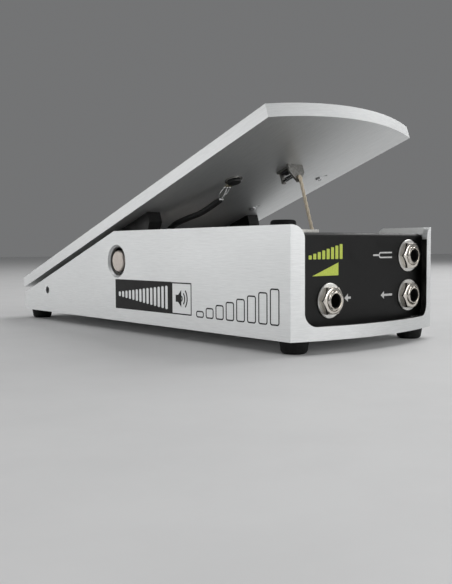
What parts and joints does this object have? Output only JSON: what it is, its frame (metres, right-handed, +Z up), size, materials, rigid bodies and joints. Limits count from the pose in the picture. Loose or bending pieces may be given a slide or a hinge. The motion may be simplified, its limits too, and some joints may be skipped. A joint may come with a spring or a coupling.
{
  "type": "volume pedal",
  "caption": "Foot-operated volume pedal: a tilting aluminium treadle over a wedge-shaped chassis turns a potentiometer through a cord, with phone jacks in the toe end.",
  "frame": {"origin": "centre of the bounding box on the surface under the rubber feet", "axes": "+Z up, +Y towards the heel end, -Y towards the toe end with the jacks, X along the pivot shaft"},
  "size_m": [0.108, 0.2836, 0.119],
  "materials": {
    "brushed_aluminium": "brushed satin, clear",
    "black_panel": "satin powder coat with printed marks",
    "nickel": "bright nickel plate",
    "phenolic": "matt phenolic board",
    "spring_metal": "tinned",
    "zinc_screw": "zinc plate",
    "bracket_steel": "bright zinc plate",
    "pot_can": "tinned can",
    "black_rubber": "moulded",
    "shaft_steel": "ground steel",
    "dark_steel": "blackened",
    "wire_yellow": "insulation",
    "drum_plastic": "moulded nylon",
    "cord_fibre": "braided",
    "grip": "coarse grip",
    "lug_black": "black coat",
    "bronze": "sintered bronze",
    "switch_plastic": "moulded",
    "button_red": "moulded",
    "cable_black": "sheath"
  },
  "bodies": {
    "base": {"chassis": "brushed_aluminium", "jack_panel": "black_panel", "input_jack": "nickel", "output_jack": "nickel", "tuner_jack": "nickel", "jack_washers": "nickel", "jack_nuts": "nickel", "jack_insulators": "phenolic", "jack_springs": "spring_metal", "floor_screws": "zinc_screw", "pot_bracket": "bracket_steel", "potentiometer": "pot_can", "pot_nut": "zinc_screw", "pot_terminals": "spring_metal", "toe_stop": "black_rubber", "toe_stop_screw": "zinc_screw", "heel_stops": "black_rubber", "pivot_shaft": "shaft_steel", "shaft_bosses": "brushed_aluminium", "boss_set_screws": "dark_steel", "cord_guide_rod": "dark_steel", "rubber_feet": "black_rubber", "foot_screws": "zinc_screw", "foot_nuts": "zinc_screw", "signal_wires": "wire_yellow", "drive_cord": "cord_fibre", "switch_cable": "cable_black"},
    "drum": {"pot_shaft": "shaft_steel", "cord_drum": "drum_plastic", "drum_set_screw": "dark_steel"},
    "treadle": {"treadle": "brushed_aluminium", "grip_pad": "grip", "left_hinge_lug": "lug_black", "right_hinge_lug": "lug_black", "lug_bushings": "bronze", "lug_screws": "zinc_screw", "cord_bracket": "bracket_steel", "cord_bracket_screw": "dark_steel", "cord_spring": "dark_steel", "heel_cord_post": "bracket_steel", "underside_screws": "zinc_screw", "switch_ring": "nickel", "switch_body": "switch_plastic", "switch_terminals": "spring_metal"},
    "switch_button": {"switch_button": "button_red"}
  },
  "joints": [
    {"name": "treadle_tilt", "type": "hinge", "parent": "base", "child": "treadle", "pos_m": [0, 0.01393, 0.04195], "axis": [1, 0, 0], "range_deg": [0, 18.75], "deforming": ["drive_cord", "switch_cable"]},
    {"name": "drum_turn", "type": "hinge", "parent": "base", "child": "drum", "pos_m": [0, -0.08917, 0.03635], "axis": [1, 0, 0], "range_deg": [0, 235]},
    {"name": "button_press", "type": "slide", "parent": "treadle", "child": "switch_button", "axis": [0, -0.3214, -0.9469], "range_m": [0, 0.0015], "stiffness_N_per_m": 400, "springref_m": -0.001}
  ],
  "couplings": [
    {"joint": "drum_turn", "follows": "treadle_tilt", "ratio": 12.5}
  ]
}
